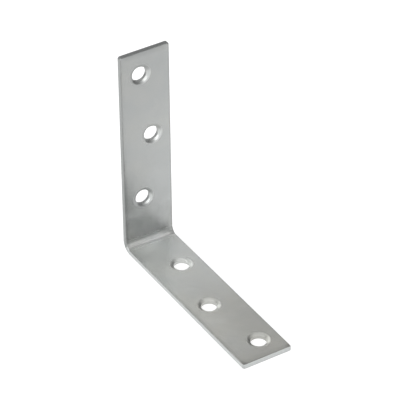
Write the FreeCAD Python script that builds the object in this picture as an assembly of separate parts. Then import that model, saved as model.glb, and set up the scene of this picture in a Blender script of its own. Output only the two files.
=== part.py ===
import FreeCAD, Part
import math
import os

# Angle bracket: one strip of steel, folded once to a right angle, with a zigzag of countersunk
# screw holes in each leg. All sizes are in millimetres.
#
# The origin is the outer corner at mid width, where the plane under the base leg meets the plane
# behind the upright leg. +X runs along the base leg, +Z up the upright leg, Y across the strip.
# The screws enter from the face side, which looks into the angle.

# Strip
BASE_LEG_LENGTH = 75.0        # back plane to the free end of the base leg, at mid width
UPRIGHT_LEG_LENGTH = 75.0     # underside to the free end of the upright leg, at mid width
STRIP_WIDTH = 18.0
STRIP_THICKNESS = 1.6
INSIDE_BEND_RADIUS = 2.3
END_SKEW = 1.2                # degrees that both free ends are sheared off square, alike before folding
FREE_CORNER_RADIUS = 0.8      # the four corners of the free ends, seen square on

# Sheared edges
ROLLED_EDGE_RADIUS = 0.35     # face side, drawn down by the shear
EDGE_BREAK_RADIUS = 0.12      # mounting side, only deburred

# Screw holes, alike in both legs
HOLES_PER_LEG = 3
HOLE_DIAMETER = 5.3           # straight wall of the hole
HOLE_PITCH = 23.7             # from hole to hole along the leg
HOLE_END_DISTANCE = 8.4       # free end of the leg to the first hole
HOLE_STAGGER = 1.9            # each hole's offset from the middle line, to alternate sides
COUNTERSINK_ANGLE = 120.0     # full angle of the cone
COUNTERSINK_DEPTH = 0.5       # cone only, from the face side
COUNTERSINK_LIP_RADIUS = 1.6  # the cone's rim is pressed round

# Directions
ALONG_BASE = FreeCAD.Vector(1, 0, 0)
ACROSS = FreeCAD.Vector(0, 1, 0)
UP = FreeCAD.Vector(0, 0, 1)
ORIGIN = FreeCAD.Vector(0, 0, 0)

# Tools that cut run this far past the surface that they cut, and edges are told apart to this much
OVERRUN = 1.0
MATCH = 1e-4

# A rounding takes no more than this share of the wall that it is on
LARGEST_SHARE_OF_WALL = 0.9


def end_slant():
    """How far the skew sets the ends of the free edges before and behind the middle."""
    return STRIP_WIDTH / 2 * math.tan(math.radians(END_SKEW))


def side_profile():
    """The L that the folded strip shows from the side, as a wire in the XZ plane. Its legs are left
    long, for the ends to be sheared."""
    half_width = STRIP_WIDTH / 2
    base_reach = BASE_LEG_LENGTH + end_slant() + OVERRUN
    upright_reach = UPRIGHT_LEG_LENGTH + end_slant() + OVERRUN
    outside_radius = INSIDE_BEND_RADIUS + STRIP_THICKNESS
    slant = math.sqrt(0.5)

    def at(x, z):
        return FreeCAD.Vector(x, -half_width, z)

    def on_bend(radius):
        reach = outside_radius - radius * slant
        return at(reach, reach)

    base_end_low = at(base_reach, 0)
    base_end_high = at(base_reach, STRIP_THICKNESS)
    face_bend_on_base = at(outside_radius, STRIP_THICKNESS)
    face_bend_on_upright = at(STRIP_THICKNESS, outside_radius)
    top_front = at(STRIP_THICKNESS, upright_reach)
    top_back = at(0, upright_reach)
    back_bend_on_upright = at(0, outside_radius)
    back_bend_on_base = at(outside_radius, 0)

    return Part.Wire([
        Part.LineSegment(base_end_low, base_end_high).toShape(),
        Part.LineSegment(base_end_high, face_bend_on_base).toShape(),
        Part.Arc(face_bend_on_base, on_bend(INSIDE_BEND_RADIUS), face_bend_on_upright).toShape(),
        Part.LineSegment(face_bend_on_upright, top_front).toShape(),
        Part.LineSegment(top_front, top_back).toShape(),
        Part.LineSegment(top_back, back_bend_on_upright).toShape(),
        Part.Arc(back_bend_on_upright, on_bend(outside_radius), back_bend_on_base).toShape(),
        Part.LineSegment(back_bend_on_base, base_end_low).toShape(),
    ])


def shears():
    """Two blocks that take away what lies past the free ends, turned to the skew."""
    across = STRIP_WIDTH + 2 * OVERRUN
    through = STRIP_THICKNESS + 2 * OVERRUN
    beyond = 2 * end_slant() + 3 * OVERRUN

    base_end = FreeCAD.Vector(BASE_LEG_LENGTH, 0, 0)
    base_shear = Part.makeBox(beyond, across, through,
                              FreeCAD.Vector(BASE_LEG_LENGTH, -across / 2, -OVERRUN))
    base_shear.rotate(base_end, UP, END_SKEW)

    top_end = FreeCAD.Vector(0, 0, UPRIGHT_LEG_LENGTH)
    top_shear = Part.makeBox(through, across, beyond,
                             FreeCAD.Vector(-OVERRUN, -across / 2, UPRIGHT_LEG_LENGTH))
    top_shear.rotate(top_end, ALONG_BASE, END_SKEW)
    return [base_shear, top_shear]


def folded_strip():
    """The bare strip after folding and shearing, with sharp edges."""
    return Part.Face(side_profile()).extrude(ACROSS * STRIP_WIDTH).cut(shears())


def is_free_corner(edge):
    """True for the four short edges through the thickness at the free ends."""
    box = edge.BoundBox
    at_side = abs(abs(box.Center.y) - STRIP_WIDTH / 2) < MATCH and box.YLength < MATCH
    near_end = end_slant() + MATCH
    on_base_end = abs(box.Center.x - BASE_LEG_LENGTH) < near_end and box.XLength < MATCH
    on_top_end = abs(box.Center.z - UPRIGHT_LEG_LENGTH) < near_end and box.ZLength < MATCH
    through = abs(edge.Length - STRIP_THICKNESS) < MATCH
    return at_side and through and (on_base_end or on_top_end)


def depth_below_face(point):
    """How far a point of the strip lies behind the face side, measured square to it."""
    bend_centre = INSIDE_BEND_RADIUS + STRIP_THICKNESS
    if point.x > bend_centre:
        return STRIP_THICKNESS - point.z
    if point.z > bend_centre:
        return STRIP_THICKNESS - point.x
    return math.hypot(point.x - bend_centre, point.z - bend_centre) - INSIDE_BEND_RADIUS


def edges_at_depth(strip, depth):
    """The edges that run right round the strip at one depth below its face."""
    def middle(edge):
        return edge.valueAt((edge.FirstParameter + edge.LastParameter) / 2)

    def lies_at_depth(edge):
        points = [vertex.Point for vertex in edge.Vertexes] + [middle(edge)]
        return all(abs(depth_below_face(point) - depth) < MATCH for point in points)

    def runs_round(edge):
        middle_point = middle(edge)
        crosses_bend = edge.BoundBox.YLength > STRIP_WIDTH - MATCH
        inside_leg = (middle_point.x < BASE_LEG_LENGTH - MATCH
                      and middle_point.z < UPRIGHT_LEG_LENGTH - MATCH)
        return not (crosses_bend and inside_leg)

    return [edge for edge in strip.Edges if lies_at_depth(edge) and runs_round(edge)]


def soften_edges(strip):
    """Rounds the free corners, then the face side's rim and the mounting side's rim."""
    thickest_rounding = STRIP_THICKNESS / 2 * LARGEST_SHARE_OF_WALL
    corner_radius = min(FREE_CORNER_RADIUS, STRIP_WIDTH / 2 * LARGEST_SHARE_OF_WALL)
    on_corner = corner_radius / 2 * LARGEST_SHARE_OF_WALL
    rolled_radius = min(ROLLED_EDGE_RADIUS, thickest_rounding, on_corner)
    break_radius = min(EDGE_BREAK_RADIUS, thickest_rounding, on_corner)

    corners = [edge for edge in strip.Edges if is_free_corner(edge)]
    strip = strip.makeFillet(corner_radius, corners)
    strip = strip.makeFillet(rolled_radius, edges_at_depth(strip, 0))
    return strip.makeFillet(break_radius, edges_at_depth(strip, STRIP_THICKNESS))


def hole_cutter():
    """A solid of one countersunk hole: on the Z axis, with the strip's face at z = 0 and the screw
    coming from +Z. Its outline is half of the hole's section, turned round the axis."""
    hole_radius = HOLE_DIAMETER / 2
    slope = math.radians(90 - COUNTERSINK_ANGLE / 2)
    cone_depth = min(COUNTERSINK_DEPTH, STRIP_THICKNESS * LARGEST_SHARE_OF_WALL)
    rim_radius = hole_radius + cone_depth / math.tan(slope)
    cone_length = cone_depth / math.sin(slope)
    longest_tangent = cone_length * LARGEST_SHARE_OF_WALL
    lip_radius = min(COUNTERSINK_LIP_RADIUS, longest_tangent / math.tan(slope / 2))
    lip_tangent = lip_radius * math.tan(slope / 2)
    lip_outer_radius = rim_radius + lip_tangent

    def at(radius, height):
        return FreeCAD.Vector(radius, 0, height)

    def on_lip(angle):
        """A point of the lip, at an angle turned from the flat face towards the cone."""
        return at(lip_outer_radius - lip_radius * math.sin(angle),
                  lip_radius * (math.cos(angle) - 1))

    bottom = -STRIP_THICKNESS - OVERRUN
    outline = Part.Wire([
        Part.LineSegment(at(0, bottom), at(hole_radius, bottom)).toShape(),
        Part.LineSegment(at(hole_radius, bottom), at(hole_radius, -cone_depth)).toShape(),
        Part.LineSegment(at(hole_radius, -cone_depth), on_lip(slope)).toShape(),
        Part.Arc(on_lip(slope), on_lip(slope / 2), on_lip(0)).toShape(),
        Part.LineSegment(on_lip(0), at(lip_outer_radius, OVERRUN)).toShape(),
        Part.LineSegment(at(lip_outer_radius, OVERRUN), at(0, OVERRUN)).toShape(),
        Part.LineSegment(at(0, OVERRUN), at(0, bottom)).toShape(),
    ])
    return Part.Face(outline).revolve(ORIGIN, UP, 360)


def hole_stations(leg_length):
    """Distance from the outer corner and side of each hole of a leg, from the free end inwards."""
    return [(leg_length - HOLE_END_DISTANCE - index * HOLE_PITCH, (-1) ** index)
            for index in range(HOLES_PER_LEG)]


def base_hole_cutters():
    """The base leg's holes: the one nearest the free end lies towards +Y."""
    cutters = []
    for distance, side in hole_stations(BASE_LEG_LENGTH):
        cutter = hole_cutter()
        cutter.translate(FreeCAD.Vector(distance, side * HOLE_STAGGER, STRIP_THICKNESS))
        cutters.append(cutter)
    return cutters


def upright_hole_cutters():
    """The upright leg's holes. The zigzag runs on through the bend, so here the sides are swapped."""
    cutters = []
    for distance, side in hole_stations(UPRIGHT_LEG_LENGTH):
        cutter = hole_cutter()
        cutter.rotate(ORIGIN, ACROSS, 90)
        cutter.translate(FreeCAD.Vector(STRIP_THICKNESS, -side * HOLE_STAGGER, distance))
        cutters.append(cutter)
    return cutters


def angle_bracket():
    """The whole bracket, one solid."""
    strip = soften_edges(folded_strip())
    return strip.cut(base_hole_cutters() + upright_hole_cutters())


def write_part(node, shape):
    """Writes one node's solid as a STEP file."""
    solid = shape.Solids[0] if len(shape.Solids) == 1 else shape
    solid.exportStep(os.path.join("parts", node + ".step"))
    print(node, "solids", len(shape.Solids), "valid", shape.isValid(), "volume", round(shape.Volume, 2))


os.makedirs("parts", exist_ok=True)
write_part("angle_bracket", angle_bracket())
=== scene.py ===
import math
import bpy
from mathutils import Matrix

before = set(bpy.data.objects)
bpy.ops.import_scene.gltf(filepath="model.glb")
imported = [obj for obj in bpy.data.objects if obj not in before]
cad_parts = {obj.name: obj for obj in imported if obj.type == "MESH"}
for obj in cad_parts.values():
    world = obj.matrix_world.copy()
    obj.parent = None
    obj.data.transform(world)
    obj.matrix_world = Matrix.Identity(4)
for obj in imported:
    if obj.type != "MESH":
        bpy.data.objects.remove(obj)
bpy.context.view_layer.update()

from types import SimpleNamespace

import bpy
from mathutils import Matrix, Vector

# Camera, found by fitting the bracket's edges in the photograph. Places are in metres, angles in
# degrees, the lens and sensor in millimetres. At azimuth 0 it looks along +Y, at 90 along -X.
CAMERA_PLACE = Vector((0.59706, -0.33379, 0.49230))
CAMERA_AZIMUTH = 59.196
CAMERA_ELEVATION = 34.937
CAMERA_ROLL = -0.648
CAMERA_LENS = 223.0
SENSOR_WIDTH = 36.0
CAMERA_NEAR = 0.01
CAMERA_FAR = 60.0

# Studio, in metres. Paper and light are grey levels, with white at 1.
FLOOR_SIZE = 30.0
FLOOR_DROP = 0.0001           # the floor lies this far below the bracket's underside
FLOOR_PAPER = 0.8             # colour that lights the surroundings
FLOOR_TO_VIEW = 0.55          # the floor's own shading in what the camera and mirrors see
FLOOR_WHITE = 0.60            # plus this even white
DOME = 0.9
DARK_PAPER = 0.06
MIDDLE_PAPER = 0.25
STUDIO_CENTRE = Vector((0.03, 0, 0.03))

# The bracket's driving sizes, in millimetres, as in its source
LEG_LENGTH = 75.0
STRIP_WIDTH = 18.0
STRIP_THICKNESS = 1.6
OUTSIDE_BEND_RADIUS = 3.9
HOLES_PER_LEG = 3
HOLE_PITCH = 23.7
FIRST_HOLE = 66.6             # from the outer corner
HOLE_STAGGER = 1.9
LIP_OUTER_RADIUS = 3.95
MM = 0.001

# Zinc, linear colours
ZINC_COOL = (0.492, 0.507, 0.503)
ZINC_WARM = (0.508, 0.507, 0.474)
UPRIGHT_WARMTH = 0.1          # how far the upright leg's colour goes from cool to warm
# Painted light: the upright leg's tone rises towards +Y by this much for each millimetre
UPRIGHT_LIGHT_SLOPE = 0.004         # by how much its tone rises for each millimetre towards +Y

# How strongly each pattern shows in the metal's tone, warmth, roughness and relief. Relief is in
# millimetres.
TONE_PATTERNS = {"cloud": 0.16, "haze": 0.10, "rolling": 0.04, "crystal": 0.03}
WARMTH_PATTERNS = {"cloud": 1.2, "haze": 0.5}
ROUGHNESS_PATTERNS = {"rolling": 0.04, "cloud": 0.08, "crystal": 0.02}
RELIEF_PATTERNS = {"wave": 0.045, "ripple": 0.008, "rolling": 0.001, "hairline": 0.0002,
                   "crystal": 0.0006}
WALL_STRIATION = 0.35
# Random mottling of the painted dark reflection low on the upright leg
LOW_REFLECTION_MOTTLE = 0.35
WALL_RELIEF = 0.03
RIM_RELIEF = 0.05

# These shifts keep the two legs' patterns apart, and the mottling of the painted reflection apart
# from the grain
LEG_SHIFT = 31.0
MOTTLE_SHIFT = 11.0

# Forms of the zones, in millimetres
RIM_RAGGEDNESS = 0.7
LEFT_EDGE_RAGGEDNESS = 0.8
RIM_CORNER_SOFTNESS = 0.3
LIP_EDGE_SOFTNESS = 0.15
FOOT_SLANT = 1.38             # along the leg, for each millimetre across it

# Painted light and shade: how much lighter or darker a part of the surface is painted than its
# leg's plain face, in place of highlights, reflections and shade
# Painted shade along the rim and the left edge, standing in for their dark reflections; painted
# shade on the base leg's corners and painted light on the upright leg's
RIM_PAINTED_SHADE = 0.48
LEFT_EDGE_SHADE = 0.80
BASE_CORNER_SHADE = 0.76
UPRIGHT_CORNER_LIGHT = 1.12
# Painted shade and painted light in and beside the fold
FOLD_SHADE = 0.84
FOLD_END_SHADE = 0.70
UPRIGHT_FOOT_LIGHT = 1.20
BASE_FOOT_LIGHT = 1.15
FOLD_CORNER_SHADE = 0.78
# Painted light, painted highlights and painted shade on the holes' lips and walls
BASE_LIP_LIGHT = 1.10
BASE_LIP_HIGHLIGHT = 1.60
BASE_LIP_SHADE = 0.82
BASE_HOLE_WALL_SHADE = 0.93
UPRIGHT_LIP_HIGHLIGHT = 1.36
UPRIGHT_LIP_INNER_SHADE = 0.72
UPRIGHT_LIP_OUTER_SHADE = 0.80
UPRIGHT_HOLE_BOTTOM_SHADE = 0.75

# Painted light and shade on the sheared walls, next to the bare colour: the upright leg's walls are
# painted as darker, shaded copies of the base leg's
BASE_SIDE_WALL_LIT = 0.98
UPRIGHT_SIDE_WALL_SHADED = 0.625
BASE_END_WALL_LIT = 1.11
UPRIGHT_END_WALL_SHADED = 0.33

# Where the lips' painted highlights and painted shade sit, in degrees round the hole's axis, from
# the side next to the fold towards +Y
UPRIGHT_HIGHLIGHT_SIDE = 62
BASE_HIGHLIGHT_SIDE = 120
BASE_HIGHLIGHT_SIDE_BY_BEND = 105
BASE_SHADE_SIDE = -30

# Gloss
FACE_ROUGHNESS = 0.22
BEND_ROUGHER = 0.12
LIP_ROUGHER = 0.08
WALL_ROUGHNESS = 0.46
METALLIC = 0.85
GRAIN_ANISOTROPY = 0.88
GRAIN_TANGENT = (0.15, 1.0, 0.15)

# Relief of the bend, in millimetres. The faces ease into it within this reach of the outer
# corner, up to this slope. Inside it they lean a little further, to this rise on either side.
EASE_REACH = 16.0
EASE_SLOPE = 0.07
BEND_LEAN_REACH = 2.3
BEND_LEAN_RISE = 0.23


def camera_axes():
    """The camera's right, up and back directions as a rotation."""
    azimuth = math.radians(CAMERA_AZIMUTH)
    elevation = math.radians(CAMERA_ELEVATION)
    roll = math.radians(CAMERA_ROLL)
    back = Vector((math.sin(azimuth) * math.cos(elevation),
                   -math.cos(azimuth) * math.cos(elevation),
                   math.sin(elevation)))
    level_right = Vector((math.cos(azimuth), math.sin(azimuth), 0))
    level_up = back.cross(level_right)
    right = level_right * math.cos(roll) + level_up * math.sin(roll)
    up = back.cross(right)
    return Matrix((right, up, back)).transposed()


def add_camera():
    """The camera at the photograph's viewing angle."""
    data = bpy.data.cameras.new("photo_camera")
    data.sensor_width = SENSOR_WIDTH
    data.lens = CAMERA_LENS
    data.clip_start = CAMERA_NEAR
    data.clip_end = CAMERA_FAR
    camera = bpy.data.objects.new("photo_camera", data)
    camera.matrix_world = Matrix.Translation(CAMERA_PLACE) @ camera_axes().to_4x4()
    bpy.context.scene.collection.objects.link(camera)
    bpy.context.scene.camera = camera


def grey(value):
    """A grey as a colour with alpha."""
    return (value, value, value, 1)


def towards(azimuth, elevation):
    """Unit vector; azimuth in degrees from +X towards +Y."""
    turn = math.radians(azimuth)
    lift = math.radians(elevation)
    return Vector((math.cos(turn) * math.cos(lift),
                   math.sin(turn) * math.cos(lift),
                   math.sin(lift)))


class Graph:
    """A node tree, written as sums. Values are numbers or sockets."""

    def __init__(self, tree):
        self.tree = tree

    def node(self, kind, **settings):
        node = self.tree.nodes.new(kind)
        for name, value in settings.items():
            setattr(node, name, value)
        return node

    def feed(self, socket, value):
        if isinstance(value, bpy.types.NodeSocket):
            self.tree.links.new(value, socket)
        else:
            socket.default_value = value

    def math(self, operation, *values, clamp=False):
        node = self.node("ShaderNodeMath", operation=operation, use_clamp=clamp)
        for socket, value in zip(node.inputs, values):
            self.feed(socket, value)
        return node.outputs[0]

    def add(self, *values):
        total = values[0]
        for value in values[1:]:
            total = self.math("ADD", total, value)
        return total

    def times(self, *values):
        total = values[0]
        for value in values[1:]:
            total = self.math("MULTIPLY", total, value)
        return total

    def less(self, a, b):
        return self.math("SUBTRACT", a, b)

    def absolute(self, value):
        return self.math("ABSOLUTE", value)

    def length(self, a, b):
        """Length of a line that goes a one way and b square to it."""
        return self.math("SQRT", self.add(self.times(a, a), self.times(b, b)))

    def rest(self, share):
        """What a share leaves of 1."""
        return self.less(1.0, share)

    def sign(self, flag):
        """1 where a flag is 0, and -1 where it is 1."""
        return self.rest(self.times(flag, 2.0))

    def weighted(self, patterns, weights):
        """Sum of the named patterns, each times its weight."""
        return self.add(*(self.times(patterns[name], weight) for name, weight in weights.items()))

    def ramp(self, value, low, high, at_low, at_high):
        """Smooth step from one level, where the value is low, to another, where it is high."""
        node = self.node("ShaderNodeMapRange", interpolation_type="SMOOTHSTEP")
        for socket, setting in zip(node.inputs, (value, low, high, at_low, at_high)):
            self.feed(socket, setting)
        return node.outputs[0]

    def fade_in(self, value, start, full):
        """0 up to the start, then rising to 1."""
        return self.ramp(value, start, full, at_low=0.0, at_high=1.0)

    def fade_out(self, value, start, gone):
        """1 up to the start, then falling to 0."""
        return self.ramp(value, start, gone, at_low=1.0, at_high=0.0)

    def span(self, value, start, full, ebb, gone):
        """0 up to the start, rising to 1, and falling back to 0 after the ebb."""
        return self.times(self.fade_in(value, start, full), self.fade_out(value, ebb, gone))

    def around(self, value, centre, full, gone):
        """1 within the first distance from the centre, falling to 0 at the second."""
        return self.fade_out(self.absolute(self.less(value, centre)), full, gone)

    def blend(self, factor, a, b):
        """Number a where the factor is 0, b where it is 1."""
        node = self.node("ShaderNodeMix", data_type="FLOAT")
        self.feed(node.inputs["Factor"], factor)
        self.feed(node.inputs[2], a)
        self.feed(node.inputs[3], b)
        return node.outputs[0]

    def tone(self, zone, factor):
        """The factor inside a zone, and 1 outside it."""
        return self.blend(zone, 1.0, factor)

    def tint(self, factor, a, b):
        """Plain colour a where the factor is 0, b where it is 1."""
        node = self.node("ShaderNodeMix", data_type="RGBA")
        self.feed(node.inputs["Factor"], factor)
        self.feed(node.inputs[6], (*a, 1))
        self.feed(node.inputs[7], (*b, 1))
        return node.outputs[2]

    def scale(self, vector, factor):
        """A vector or colour times a number."""
        node = self.node("ShaderNodeVectorMath", operation="SCALE")
        self.feed(node.inputs[0], vector)
        self.feed(node.inputs["Scale"], factor)
        return node.outputs[0]

    def vector(self, x, y, z):
        node = self.node("ShaderNodeCombineXYZ")
        for socket, value in zip(node.inputs, (x, y, z)):
            self.feed(socket, value)
        return node.outputs[0]

    def split(self, vector):
        node = self.node("ShaderNodeSeparateXYZ")
        self.feed(node.inputs[0], vector)
        return node.outputs

    def noise(self, vector, scale=1.0, detail=2.0, roughness=0.5):
        """Noise around 0, from about -0.5 to 0.5."""
        node = self.node("ShaderNodeTexNoise")
        self.feed(node.inputs["Vector"], vector)
        node.inputs["Scale"].default_value = scale
        node.inputs["Detail"].default_value = detail
        node.inputs["Roughness"].default_value = roughness
        return self.less(node.outputs[0], 0.5)


def add_world():
    """An even dome, nearly white."""
    world = bpy.data.worlds.new("studio")
    world.use_nodes = True
    bpy.context.scene.world = world
    world.node_tree.nodes["Background"].inputs["Color"].default_value = grey(DOME)
    bpy.context.scene.view_settings.view_transform = "Standard"


def sheet_mesh(name, width, height, material):
    """A flat rectangle in its own XY plane, as a part of the studio."""
    x = width / 2
    y = height / 2
    mesh = bpy.data.meshes.new(name)
    mesh.from_pydata([(-x, -y, 0), (x, -y, 0), (x, y, 0), (-x, y, 0)], [], [(0, 1, 2, 3)])
    mesh.materials.append(material)
    piece = bpy.data.objects.new(name, mesh)
    bpy.context.scene.collection.objects.link(piece)
    return piece


def paper(name, value):
    """Plain matt paper."""
    material = bpy.data.materials.new(name)
    material.use_nodes = True
    graph = Graph(material.node_tree)
    graph.tree.nodes.clear()
    matt = graph.node("ShaderNodeBsdfDiffuse")
    matt.inputs["Color"].default_value = grey(value)
    output = graph.node("ShaderNodeOutputMaterial")
    graph.feed(output.inputs["Surface"], matt.outputs[0])
    return material


def graded_paper(name, low, high, low_value, high_value):
    """Matt paper that changes its grey between two heights above the floor."""
    material = paper(name, low_value)
    graph = Graph(material.node_tree)
    height = graph.split(graph.node("ShaderNodeNewGeometry").outputs["Position"])[2]
    value = graph.ramp(height, low, high, low_value, high_value)
    graph.feed(graph.tree.nodes["Diffuse BSDF"].inputs["Color"], graph.vector(value, value, value))
    return material


def floor_material():
    """White paper. The camera and mirrors see it whiter than it lights its surroundings."""
    material = paper("studio_floor", FLOOR_PAPER)
    graph = Graph(material.node_tree)
    matt = graph.tree.nodes["Diffuse BSDF"]
    output = graph.tree.nodes["Material Output"]
    seen_matt = graph.node("ShaderNodeBsdfDiffuse")
    seen_matt.inputs["Color"].default_value = grey(FLOOR_TO_VIEW)
    white = graph.node("ShaderNodeEmission")
    white.inputs["Strength"].default_value = FLOOR_WHITE
    seen = graph.node("ShaderNodeAddShader")
    graph.feed(seen.inputs[0], seen_matt.outputs[0])
    graph.feed(seen.inputs[1], white.outputs[0])
    path = graph.node("ShaderNodeLightPath").outputs
    is_seen = graph.math("MAXIMUM", path["Is Camera Ray"], path["Is Glossy Ray"])
    is_seen = graph.math("MAXIMUM", is_seen, path["Is Transmission Ray"])
    choice = graph.node("ShaderNodeMixShader")
    graph.feed(choice.inputs["Fac"], is_seen)
    graph.feed(choice.inputs[1], matt.outputs[0])
    graph.feed(choice.inputs[2], seen.outputs[0])
    graph.feed(output.inputs["Surface"], choice.outputs[0])
    return material


def add_floor():
    """The pale floor, just under the bracket."""
    floor = sheet_mesh("floor", FLOOR_SIZE, FLOOR_SIZE, floor_material())
    floor.location = (0, 0, -FLOOR_DROP)


def aim(thing, place, facing):
    """Puts a lamp's or card's centre at a place and turns its +Z to a direction."""
    thing.location = place
    thing.rotation_euler = facing.to_track_quat("Z", "Y").to_euler()


def add_softbox(name, azimuth, elevation, distance, width, height, radiance):
    """A soft rectangular lamp that looks at the bracket and has this brightness in mirrors."""
    data = bpy.data.lights.new(name, "AREA")
    data.shape = "RECTANGLE"
    data.size = width
    data.size_y = height
    data.energy = radiance * math.pi * width * height
    lamp = bpy.data.objects.new(name, data)
    direction = towards(azimuth, elevation)
    aim(lamp, STUDIO_CENTRE + direction * distance, direction)
    bpy.context.scene.collection.objects.link(lamp)


def add_card(name, azimuth, distance, base, width, height, material):
    """An upright card, out of the camera's sight, that darkens what the metal mirrors there."""
    card = sheet_mesh(name, width, height, material)
    direction = towards(azimuth, 0)
    aim(card, direction * distance + Vector((0, 0, base + height / 2)), -direction)
    card.visible_camera = False


def add_studio():
    """Softboxes on the left, in front, on the right and behind, and cards round the bracket."""
    add_world()
    add_floor()
    add_softbox("key", azimuth=-95, elevation=27, distance=0.7,
                width=0.66, height=0.6, radiance=1.95)
    add_softbox("front_fill", azimuth=-8, elevation=13, distance=0.9,
                width=0.6, height=0.5, radiance=2.2)
    add_softbox("right_fill", azimuth=33, elevation=47, distance=0.7,
                width=0.7, height=0.34, radiance=1.0)
    add_softbox("rear_fill", azimuth=186, elevation=37, distance=0.8,
                width=0.35, height=0.35, radiance=1.8)
    add_card("right_card", azimuth=72, distance=0.30, base=0.0, width=0.77, height=0.22,
             material=paper("right_card", DARK_PAPER))
    add_card("rear_right_card", azimuth=126, distance=0.35, base=0.0, width=0.17, height=0.21,
             material=paper("rear_right_card", DARK_PAPER))
    add_card("tall_card", azimuth=103, distance=0.32, base=0.0, width=0.16, height=0.45,
             material=paper("tall_card", DARK_PAPER))
    add_card("back_card", azimuth=149, distance=0.50, base=0.25, width=0.45, height=0.27,
             material=graded_paper("back_card", low=0.37, high=0.45, low_value=0.95,
                                   high_value=0.52))
    add_card("left_card", azimuth=-143, distance=0.45, base=0.0, width=0.36, height=0.5,
             material=paper("left_card", MIDDLE_PAPER))


def leg_coordinates(graph):
    """Where a point of the bracket lies on its leg, as named sockets, in millimetres.

    along runs from the outer corner to the leg's free end, y across the strip, and depth into the
    steel from the side that the screws enter. up is 1 on the upright leg and 0 on the base leg,
    and on_base the other way round. lean is 0 in the middle of the bend, less than 0 on the
    upright leg's side of it and more on the base leg's. inwards and across are the direction from
    the nearest hole's axis: towards the fold, and towards +Y."""
    texture = graph.node("ShaderNodeTexCoord").outputs
    place = graph.scale(texture["Object"], 1 / MM)
    x, y, z = graph.split(place)
    normal_x, normal_y, normal_z = graph.split(texture["Normal"])
    side_normal = graph.absolute(normal_y)

    up = graph.math("GREATER_THAN", z, x)
    along = graph.math("MAXIMUM", x, z)
    depth = graph.less(STRIP_THICKNESS, graph.math("MINIMUM", x, z))

    # How squarely the surface faces out of the sheet, 1 on the two faces and 0 on cut walls
    in_bend = graph.math("LESS_THAN", along, OUTSIDE_BEND_RADIUS)
    leg_normal = graph.absolute(graph.blend(up, normal_z, normal_x))
    facing = graph.blend(in_bend, leg_normal, graph.rest(side_normal))

    # The nearest hole. The zigzag changes sides from hole to hole and from leg to leg.
    steps = graph.math("DIVIDE", graph.less(FIRST_HOLE, along), HOLE_PITCH)
    nearest = graph.math("MINIMUM", graph.math("ROUND", steps), HOLES_PER_LEG - 1)
    side = graph.times(graph.sign(graph.math("MODULO", nearest, 2.0)), graph.sign(up))
    from_hole = graph.times(graph.less(steps, nearest), HOLE_PITCH)
    sideways = graph.less(y, graph.times(side, HOLE_STAGGER))
    hole_distance = graph.length(from_hole, sideways)

    return SimpleNamespace(
        place=place, y=y, along=along, lean=graph.less(x, z), depth=depth,
        up=up, on_base=graph.rest(up), facing=facing, side_normal=side_normal,
        side_distance=graph.less(STRIP_WIDTH / 2, graph.absolute(y)),
        end_distance=graph.less(LEG_LENGTH, along),
        hole_distance=hole_distance,
        inwards=graph.math("DIVIDE", from_hole, hole_distance),
        across=graph.math("DIVIDE", sideways, hole_distance))


def surface_patterns(graph, at):
    """Noise patterns around 0, by name. Their scales are per millimetre."""
    leg_shift = graph.times(at.up, LEG_SHIFT)

    def grain(along_scale, across_scale, third, detail, roughness=0.5):
        """A pattern with its own scales along and across the strip."""
        stretched = graph.vector(graph.times(at.along, along_scale),
                                 graph.times(at.y, across_scale), third)
        return graph.noise(stretched, 1.0, detail, roughness)

    return {
        "cloud": graph.noise(at.place, scale=0.075, detail=3.0),
        "wave": graph.noise(at.place, scale=0.16, detail=2.0),
        "haze": graph.noise(at.place, scale=0.21, detail=4.0, roughness=0.6),
        "ripple": graph.noise(at.place, scale=0.5, detail=2.0),
        "ragged": graph.noise(at.place, scale=0.55, detail=3.0, roughness=0.65),
        "crystal": graph.noise(at.place, scale=2.6, detail=2.0, roughness=0.6),
        "mottle": grain(along_scale=0.22, across_scale=0.42,
                        third=graph.add(leg_shift, MOTTLE_SHIFT), detail=3.0, roughness=0.6),
        "rolling": grain(along_scale=0.035, across_scale=1.6, third=leg_shift,
                         detail=4.0, roughness=0.6),
        "hairline": grain(along_scale=0.25, across_scale=11.0, third=leg_shift, detail=2.0),
        "striation": grain(along_scale=3.0, across_scale=3.0, third=graph.times(at.depth, 0.35),
                           detail=3.0, roughness=0.6),
    }


def surface_zones(graph, at, pattern):
    """How far a point belongs to each kind of surface, from 0 to 1, as named sockets."""
    wall = graph.fade_out(at.facing, start=0.70, gone=0.93)
    hole_wall = graph.times(wall, graph.fade_out(at.hole_distance, start=4.2, gone=4.6))
    edge_wall = graph.less(wall, hole_wall)
    end_wall = graph.times(edge_wall, graph.fade_out(at.end_distance, start=0.35, gone=0.6),
                           graph.fade_out(at.side_normal, start=0.3, gone=0.6))
    face_side = graph.fade_out(at.depth, start=0.5, gone=0.9)
    lip = graph.times(face_side, graph.fade_out(at.hole_distance,
                                                start=LIP_OUTER_RADIUS - LIP_EDGE_SOFTNESS,
                                                gone=LIP_OUTER_RADIUS + LIP_EDGE_SOFTNESS))

    # The rim is ragged, and its painted shade and its bump come and go along it. Most of the top
    # end's rim is spared.
    rim_distance = graph.math("SMOOTH_MIN", at.side_distance, at.end_distance,
                              RIM_CORNER_SOFTNESS)
    ragged_distance = graph.add(rim_distance, graph.times(pattern["ragged"], RIM_RAGGEDNESS))
    rim_patchiness = graph.ramp(graph.add(pattern["ragged"], graph.times(pattern["haze"], 0.8)),
                      low=-0.16, high=0.16, at_low=0.35, at_high=1.0)
    spared = graph.times(at.up, graph.fade_in(at.y, start=-9.0, full=-4.0),
                         graph.fade_out(at.end_distance, start=0.9, gone=1.5))
    rim = graph.times(graph.fade_out(ragged_distance, start=0.10, gone=0.60), graph.rest(wall),
                      rim_patchiness, graph.rest(spared))

    return SimpleNamespace(
        hole_wall=hole_wall, edge_wall=edge_wall, end_wall=end_wall,
        side_wall=graph.less(edge_wall, end_wall), face_side=face_side, lip=lip, rim=rim,
        bend=graph.fade_out(at.along, start=3.4, gone=4.4))


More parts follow.
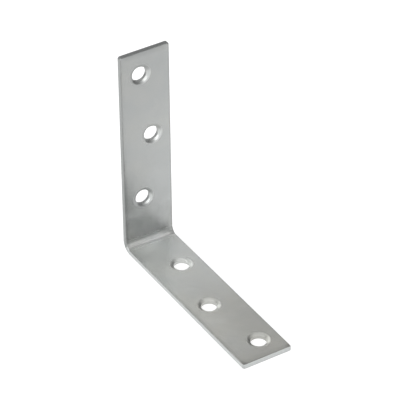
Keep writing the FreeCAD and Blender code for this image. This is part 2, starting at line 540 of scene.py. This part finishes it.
def face_tone(graph, at, pattern):
    """The faces: soft patches of random tone, and painted light and shade: broad changes along and
    across the legs, lighter and darker areas of painted reflection, painted shade on the base leg's
    left near the fold and towards the free end, and mottling of the painted reflection low on the
    upright leg.
    """
    along, y = at.along, at.y
    patches = graph.add(1.0, graph.weighted(pattern, TONE_PATTERNS))

    # Painted reflection light and shade, from the fold to the free end, and from side to side by a
    # slope per millimetre
    base_lengthwise_light = graph.ramp(along, low=12.0, high=76.0, at_low=1.105, at_high=0.86)
    upright_lengthwise_light = graph.times(
        graph.ramp(along, low=12.0, high=34.0, at_low=0.92, at_high=1.0),
        graph.ramp(along, low=35.0, high=70.0, at_low=0.81, at_high=0.732))
    painted_lengthwise_light = graph.blend(at.up, base_lengthwise_light, upright_lengthwise_light)
    base_painted_slope = graph.add(graph.ramp(along, low=6.0, high=20.0, at_low=0.012, at_high=0.0),
                           graph.ramp(along, low=25.0, high=60.0, at_low=0.0, at_high=-0.002))
    sideways = graph.add(1.0, graph.times(y, graph.blend(at.up, base_painted_slope, UPRIGHT_LIGHT_SLOPE)))

    # Large areas of painted reflection, lighter or darker, for what the uneven sheet would mirror
    base_reflection_areas = graph.add(
        graph.times(graph.span(along, start=40.0, full=52.0, ebb=68.0, gone=73.0),
                    graph.ramp(y, low=-5.0, high=2.5, at_low=0.11, at_high=0.0)),
        graph.times(graph.span(along, start=9.0, full=13.0, ebb=22.0, gone=27.0),
                    graph.ramp(y, low=-6.0, high=-1.0, at_low=0.07, at_high=0.0)),
        graph.times(graph.span(along, start=34.0, full=46.0, ebb=52.0, gone=64.0),
                    graph.ramp(y, low=0.0, high=7.0, at_low=0.0, at_high=-0.06)))
    upright_reflection_areas = graph.times(
        graph.span(along, start=10.0, full=16.0, ebb=26.0, gone=32.0),
        graph.add(graph.ramp(y, low=-3.0, high=4.0, at_low=0.0, at_high=0.06),
                  graph.ramp(y, low=-8.0, high=-3.0, at_low=-0.08, at_high=0.0)))
    reflection_areas = graph.add(1.0, graph.blend(at.up, base_reflection_areas, upright_reflection_areas))

    # Painted shade on the base leg's left side near the fold
    base_left_shade = graph.times(at.on_base, graph.span(along, start=3.0, full=3.8, ebb=8.0, gone=15.0),
                            graph.fade_out(y, start=-8.0, gone=-1.0))
    base_left_shade_tone = graph.ramp(y, low=-8.6, high=-6.6, at_low=0.79, at_high=0.86)
    # Painted shade darkening the face towards the free end's edge
    free_end_shade = graph.ramp(at.end_distance, low=0.3, high=2.6, at_low=0.86, at_high=1.0)
    # Random mottling of the painted dark reflection low on the upright leg
    reflection_mottle = graph.times(pattern["mottle"], at.up, graph.fade_out(along, start=14.0, gone=22.0),
                          LOW_REFLECTION_MOTTLE)
    return graph.times(patches, painted_lengthwise_light, sideways, reflection_areas, graph.tone(base_left_shade, base_left_shade_tone),
                       free_end_shade, graph.add(1.0, reflection_mottle))


def rim_tone(graph, at, pattern, zone):
    """Painted shade along the ragged rim, standing in for its dark reflection, painted shade on the
    base leg's free corners and painted light on the upright leg's, and painted shade along the
    rolled edge at the left side.
    """
    # Painted shade on the base leg's free corners and painted light on the upright leg's
    painted_corner = graph.ramp(graph.length(at.side_distance, at.end_distance), low=0.8, high=2.8,
                        at_low=graph.blend(at.up, BASE_CORNER_SHADE, UPRIGHT_CORNER_LIGHT), at_high=1.0)
    # Painted shade along the rolled edge at the left side, standing in for its dark reflection
    ragged_left = graph.add(at.y, STRIP_WIDTH / 2,
                            graph.times(pattern["ragged"], LEFT_EDGE_RAGGEDNESS))
    left_share = graph.blend(
        at.up, graph.ramp(at.along, low=24.0, high=42.0, at_low=0.0, at_high=0.6),
        graph.ramp(at.along, low=22.0, high=45.0, at_low=1.0, at_high=0.15))
    left_edge_shade = graph.times(zone.face_side, graph.fade_out(ragged_left, start=0.6, gone=1.7),
                            left_share)
    return graph.times(graph.tone(zone.rim, RIM_PAINTED_SHADE), painted_corner, graph.tone(left_edge_shade, LEFT_EDGE_SHADE))


def fold_tone(graph, at, zone):
    """The inside of the fold: painted shade along a line that dims its highlight and at its right
    end, shade above it, painted light on the feet of both faces, and painted shade in the upright
    leg's corner.
    """
    along, y, lean = at.along, at.y, at.lean
    # Painted shade along the fold, dimming its highlight
    fold_line_shade = graph.around(lean, centre=0.85, full=0.35, gone=0.95)
    fold_line_shade_tone = graph.times(graph.ramp(y, low=-7.0, high=1.0, at_low=0.62, at_high=0.72),
                            graph.ramp(y, low=3.5, high=6.5, at_low=1.0, at_high=0.86))
    # Painted shade at the fold's right end
    fold_right_end_shade = graph.times(graph.fade_in(y, start=6.6, full=8.0),
                           graph.around(lean, centre=0.5, full=0.6, gone=1.4))
    shade = graph.around(lean, centre=-1.4, full=0.2, gone=1.1)

    # Painted light on the upright leg's foot reaches up along a slanted line, highest on the left
    slanted = graph.add(along, graph.times(y, FOOT_SLANT))
    upright_foot_light = graph.times(at.up, zone.face_side, graph.fade_out(slanted, start=6.5, gone=14.0),
                               graph.fade_out(along, start=7.0, gone=11.0))
    # Painted light on the base leg's face just past the fold
    base_foot_light = graph.times(at.on_base, graph.around(lean, centre=1.9, full=0.3, gone=0.9))
    # Painted shade in the upright leg's corner by the fold, towards +Y
    fold_corner_shade = graph.times(at.up, zone.face_side,
                              graph.span(y, start=4.0, full=6.0, ebb=7.2, gone=8.2),
                              graph.fade_out(along, start=5.0, gone=8.5))
    return graph.times(graph.tone(fold_line_shade, fold_line_shade_tone), graph.tone(fold_right_end_shade, FOLD_END_SHADE),
                       graph.tone(shade, FOLD_SHADE), graph.tone(upright_foot_light, UPRIGHT_FOOT_LIGHT),
                       graph.tone(base_foot_light, BASE_FOOT_LIGHT), graph.tone(fold_corner_shade, FOLD_CORNER_SHADE))


def facing_side(graph, at, angle):
    """How nearly a point lies on one side of its hole: the cosine of the angle between them."""
    turn = math.radians(angle)
    return graph.add(graph.times(at.inwards, math.cos(turn)),
                     graph.times(at.across, math.sin(turn)))


def hole_tone(graph, at, zone):
    """The holes: painted highlights on one side of each lip and painted shade on others, painted
    light on the base leg's lips and painted shade in the hole walls; those of the holes next to the
    fold differ a little from the rest."""
    by_bend = graph.fade_out(at.along, start=28.0, gone=34.0)

    # Base leg
    base_lip = graph.times(zone.lip, at.on_base)
    # Painted light on the base leg's lips, away from the hole wall
    base_lip_light = graph.times(base_lip, graph.rest(zone.hole_wall))
    # Painted highlight on one side of each base lip
    base_highlight = graph.blend(
        by_bend,
        graph.fade_in(facing_side(graph, at, BASE_HIGHLIGHT_SIDE), start=0.80, full=0.97),
        graph.fade_in(facing_side(graph, at, BASE_HIGHLIGHT_SIDE_BY_BEND), start=0.6, full=0.95))
    # Painted shade on another side of each base lip
    base_lip_shade_side = graph.fade_in(facing_side(graph, at, BASE_SHADE_SIDE), start=0.80, full=0.98)
    # Painted shade on the base leg's hole walls
    base_hole_wall_shade = graph.times(zone.hole_wall, at.on_base)

    # Upright leg
    upright_lip = graph.times(zone.lip, at.up)
    # Painted highlight on one side of each upright lip
    upright_highlight = graph.fade_in(facing_side(graph, at, UPRIGHT_HIGHLIGHT_SIDE),
                                   start=0.55, full=0.92)
    # Painted shade on the inner side of the upright lips
    inner_lip_shade = graph.times(upright_lip, graph.fade_in(at.inwards, start=0.86, full=0.99),
                              graph.fade_out(at.hole_distance, start=3.2, gone=3.7))
    # Painted shade on the outer side of the upright lips next to the fold
    outer_lip_shade = graph.times(upright_lip, by_bend,
                               graph.fade_in(at.inwards, start=0.5, full=0.85),
                               graph.fade_in(at.hole_distance, start=3.1, full=3.5))
    # Painted shade at the bottom of the upright leg's holes
    hole_bottom_shade = graph.times(zone.hole_wall, at.up,
                              graph.fade_in(at.inwards, start=0.7, full=0.95))

    # On the upright leg the painted highlight reaches to the lip's outer rim, on the base leg it
    # doesn't
    outer_share = graph.ramp(at.hole_distance, low=3.5, high=3.9, at_low=1.0, at_high=at.up)
    lip_highlight = graph.times(zone.lip, graph.blend(at.up, base_highlight, upright_highlight), outer_share)
    return graph.times(
        graph.tone(base_lip_light, BASE_LIP_LIGHT), graph.tone(base_hole_wall_shade, BASE_HOLE_WALL_SHADE),
        graph.tone(lip_highlight, graph.blend(at.up, BASE_LIP_HIGHLIGHT, UPRIGHT_LIP_HIGHLIGHT)),
        graph.tone(inner_lip_shade, UPRIGHT_LIP_INNER_SHADE),
        graph.tone(hole_bottom_shade, UPRIGHT_HOLE_BOTTOM_SHADE),
        graph.tone(outer_lip_shade, UPRIGHT_LIP_OUTER_SHADE),
        graph.tone(graph.times(base_lip, base_lip_shade_side), BASE_LIP_SHADE))


def zinc_colour(graph, at, pattern, zone):
    """Two close greys in soft patches, the base leg a little warmer, and all the painted light and
    shade.
    """
    base_warmth = graph.ramp(at.along, low=5.0, high=65.0, at_low=0.2, at_high=0.85)
    leg_warmth = graph.blend(at.up, base_warmth, UPRIGHT_WARMTH)
    warmth = graph.math("ADD", graph.weighted(pattern, WARMTH_PATTERNS), leg_warmth, clamp=True)
    colour = graph.tint(graph.times(warmth, graph.rest(zone.edge_wall)), ZINC_COOL, ZINC_WARM)

    tone = graph.times(face_tone(graph, at, pattern), rim_tone(graph, at, pattern, zone),
                       fold_tone(graph, at, zone), hole_tone(graph, at, zone))
    striated = graph.add(1.0, graph.times(pattern["striation"], WALL_STRIATION))
    # Painted light on the base leg's walls and painted shade on the upright leg's
    side_wall_light_and_shade = graph.times(graph.blend(at.up, BASE_SIDE_WALL_LIT, UPRIGHT_SIDE_WALL_SHADED), striated)
    end_wall_light_and_shade = graph.times(graph.blend(at.up, BASE_END_WALL_LIT, UPRIGHT_END_WALL_SHADED), striated)
    tone = graph.blend(zone.side_wall, tone, side_wall_light_and_shade)
    tone = graph.blend(zone.end_wall, tone, end_wall_light_and_shade)
    return graph.scale(colour, tone)


def zinc_roughness(graph, at, pattern, zone):
    """Satin faces. The bend and the lips are rougher, and the punched and sheared walls most."""
    face = graph.add(FACE_ROUGHNESS, graph.weighted(pattern, ROUGHNESS_PATTERNS),
                     graph.times(zone.bend, BEND_ROUGHER), graph.times(zone.lip, LIP_ROUGHER))
    rough_wall = graph.add(zone.edge_wall, graph.times(zone.hole_wall, at.up))
    return graph.blend(rough_wall, face, WALL_ROUGHNESS)


def zinc_relief(graph, at, pattern, zone):
    """Relief in millimetres: the faces' easing into the bend, waviness, grain and worn edges."""
    eased = graph.math("MAXIMUM", at.along, OUTSIDE_BEND_RADIUS)
    to_go = graph.math("MAXIMUM", graph.less(EASE_REACH, eased), 0.0)
    easing = graph.times(to_go, to_go, EASE_SLOPE / (2 * (EASE_REACH - OUTSIDE_BEND_RADIUS)))
    bend_lean = graph.ramp(at.lean, low=-BEND_LEAN_REACH, high=BEND_LEAN_REACH,
                           at_low=BEND_LEAN_RISE, at_high=-BEND_LEAN_RISE)
    return graph.add(easing, bend_lean, graph.weighted(pattern, RELIEF_PATTERNS),
                     graph.times(pattern["striation"], zone.edge_wall, WALL_RELIEF),
                     graph.times(pattern["ragged"], zone.rim, RIM_RELIEF))


def zinc():
    """Bright zinc on cold-rolled steel: satin faces with the rolling grain along the strip, and
    rougher sheared edges and punched hole walls."""
    material = bpy.data.materials.new("zinc_plated_steel")
    material.use_nodes = True
    graph = Graph(material.node_tree)
    at = leg_coordinates(graph)
    pattern = surface_patterns(graph, at)
    zone = surface_zones(graph, at, pattern)

    shader = graph.tree.nodes["Principled BSDF"]
    graph.feed(shader.inputs["Base Color"], zinc_colour(graph, at, pattern, zone))
    graph.feed(shader.inputs["Roughness"], zinc_roughness(graph, at, pattern, zone))
    graph.feed(shader.inputs["Tangent"], graph.vector(*GRAIN_TANGENT))
    shader.inputs["Metallic"].default_value = METALLIC
    shader.inputs["Anisotropic"].default_value = GRAIN_ANISOTROPY

    bump = graph.node("ShaderNodeBump")
    bump.inputs["Strength"].default_value = 1.0
    bump.inputs["Distance"].default_value = MM
    graph.feed(bump.inputs["Height"], zinc_relief(graph, at, pattern, zone))
    graph.feed(shader.inputs["Normal"], bump.outputs[0])
    return material


add_camera()
add_studio()
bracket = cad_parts["angle_bracket"]
bracket.material_slots[0].material = zinc()
